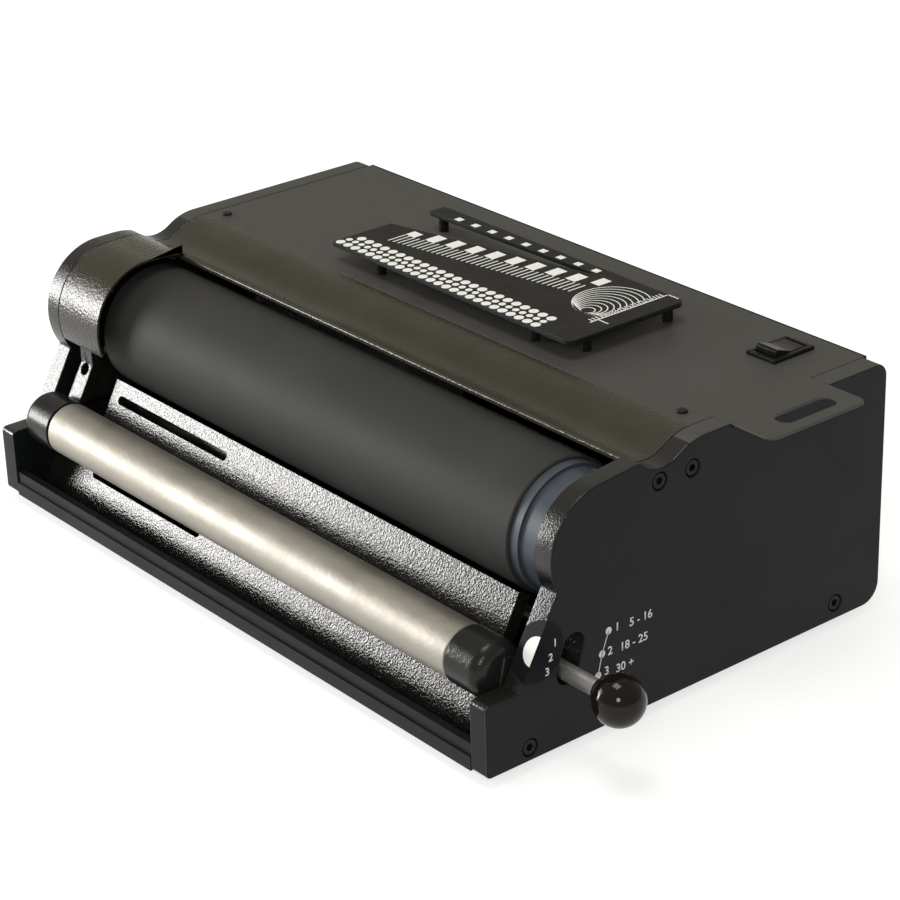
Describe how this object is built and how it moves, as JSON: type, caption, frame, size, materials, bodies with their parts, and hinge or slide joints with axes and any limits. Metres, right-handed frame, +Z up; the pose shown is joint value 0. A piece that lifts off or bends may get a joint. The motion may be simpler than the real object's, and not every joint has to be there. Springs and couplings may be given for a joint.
{
  "type": "coil inserter",
  "caption": "Tabletop electric coil inserter: a rubber drive roller and a lever-set idler roll spin a coil through a punched book on a sloped rest.",
  "frame": {"origin": "on the table, under the middle of the machine, knob included", "axes": "+X to the right as seen from the front, +Y to the back, +Z up"},
  "size_m": [0.5092, 0.285, 0.162],
  "materials": {
    "black_texture": "fine textured black paint",
    "black_satin": "satin black paint",
    "hammertone": "silver and black hammered paint",
    "roll_nickel": "satin nickel plating",
    "steel": "plain turned steel",
    "zinc": "zinc plated",
    "blackened_steel": "blackened",
    "cast_alloy": "black coated casting",
    "aluminium": "plain aluminium",
    "drive_rubber": "matte black rubber",
    "foot_rubber": "black rubber",
    "belt_rubber": "black belt",
    "hub_plastic": "blue-grey plastic",
    "bushing_plastic": "natural plastic",
    "knob_plastic": "glossy black plastic",
    "switch_plastic": "black plastic",
    "gauge_plastic": "black panel with white print",
    "board_plastic": "green circuit board",
    "part_plastic": "moulded electrical parts",
    "motor_paint": "grey enamel"
  },
  "bodies": {
    "chassis": {"left_side_plate": "black_satin", "right_side_plate": "black_satin", "side_plate_screws": "blackened_steel", "roller_shroud": "black_texture", "shroud_brackets": "steel", "inner_bearing_plate": "black_texture", "bearing_plate_spacers": "steel", "bearing_plate_screws": "zinc", "front_tie_rod": "steel", "rear_tie_bar": "steel", "upper_tie_bar": "steel", "cover_posts": "zinc", "front_rail": "black_satin", "base_pan": "black_satin", "rubber_feet": "foot_rubber", "foot_screws": "zinc", "rest_plate": "hammertone", "top_cover": "black_texture", "cover_screws": "blackened_steel", "rear_panel": "black_satin", "rear_screws": "blackened_steel", "gauge_plate": "gauge_plastic", "gauge_standoffs": "blackened_steel", "gauge_screws": "zinc", "switch_frame": "switch_plastic", "roller_bearings": "steel", "drive_belt": "belt_rubber", "motor_bracket": "zinc", "motor_screws": "zinc", "gearbox": "motor_paint", "motor": "motor_paint", "pivot_shaft": "steel", "pivot_collars": "zinc", "power_inlet": "switch_plastic", "inlet_screws": "zinc", "pedal_jack": "switch_plastic", "control_board": "board_plastic", "board_parts": "part_plastic", "board_standoffs": "zinc", "motor_capacitor": "part_plastic", "capacitor_clip": "zinc"},
    "roller": {"roller_sleeve": "drive_rubber", "roller_core": "aluminium", "roller_hub_right": "hub_plastic", "roller_hub_left": "hub_plastic", "roller_shaft": "steel", "roller_pulley": "aluminium"},
    "motor_drive": {"motor_pulley": "aluminium", "motor_shaft": "steel"},
    "cradle": {"cradle_arm_left": "cast_alloy", "cradle_arm_right": "cast_alloy", "cradle_tie_rod": "steel", "roll_axle": "steel", "lever_rod": "steel", "lever_knob": "knob_plastic", "detent_plunger": "zinc"},
    "roll": {"idler_roll": "roll_nickel", "roll_bushings": "bushing_plastic"},
    "rocker": {"power_rocker": "switch_plastic"}
  },
  "joints": [
    {"name": "roller_spin", "type": "hinge", "parent": "chassis", "child": "roller", "pos_m": [-0.02605, -0.052, 0.102], "axis": [1, 0, 0], "continuous": true},
    {"name": "motor_spin", "type": "hinge", "parent": "chassis", "child": "motor_drive", "pos_m": [-0.21715, 0.0525, 0.068], "axis": [1, 0, 0], "continuous": true},
    {"name": "cradle_swing", "type": "hinge", "parent": "chassis", "child": "cradle", "pos_m": [-0.02605, 0.0125, 0.022], "axis": [-1, 0, 0], "range_deg": [0, 8]},
    {"name": "roll_spin", "type": "hinge", "parent": "cradle", "child": "roll", "pos_m": [-0.02605, -0.1195, 0.053], "axis": [1, 0, 0], "continuous": true},
    {"name": "power_rocker", "type": "hinge", "parent": "chassis", "child": "rocker", "pos_m": [0.15395, 0.1105, 0.1501], "axis": [1, 0, 0], "range_deg": [0, 20]}
  ],
  "couplings": [
    {"joint": "motor_spin", "follows": "roller_spin", "ratio": 2.0728}
  ]
}
